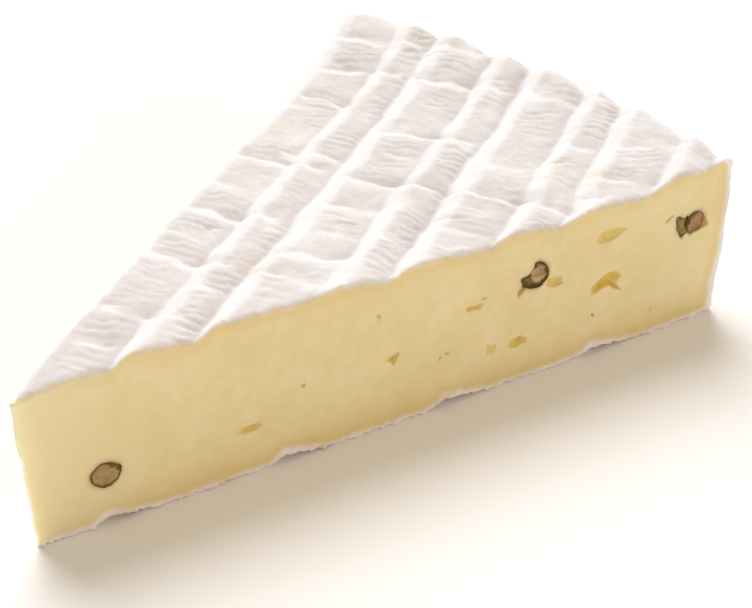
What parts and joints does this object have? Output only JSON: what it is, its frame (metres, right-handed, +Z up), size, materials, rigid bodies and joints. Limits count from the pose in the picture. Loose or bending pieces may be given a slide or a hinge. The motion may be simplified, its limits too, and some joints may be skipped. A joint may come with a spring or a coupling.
{
  "type": "cheese wedge",
  "caption": "Slice cut from a wheel of soft, white-rinded cheese, with green peppercorns and small eyes in its pale yellow cut faces.",
  "frame": {"origin": "middle of the rectangle of floor that the slice covers, at the floor", "axes": "+X along the slice's middle line from the point to the rim, +Z up, the near cut face towards -Y"},
  "size_m": [0.1358, 0.0914, 0.0339],
  "materials": {
    "soft_cheese": "white velvety mould rind over a smooth, slightly moist, pale yellow paste",
    "green_peppercorn": "wrinkled olive-brown skin, pale khaki where the knife cut it"
  },
  "bodies": {
    "root": {"cheese_wedge": "soft_cheese", "near_peppercorn_point": "green_peppercorn", "near_peppercorn_middle": "green_peppercorn", "near_peppercorn_rim": "green_peppercorn", "near_peppercorn_husk": "green_peppercorn", "far_peppercorn_point": "green_peppercorn", "far_peppercorn_middle": "green_peppercorn", "far_peppercorn_rim": "green_peppercorn"}
  },
  "joints": []
}
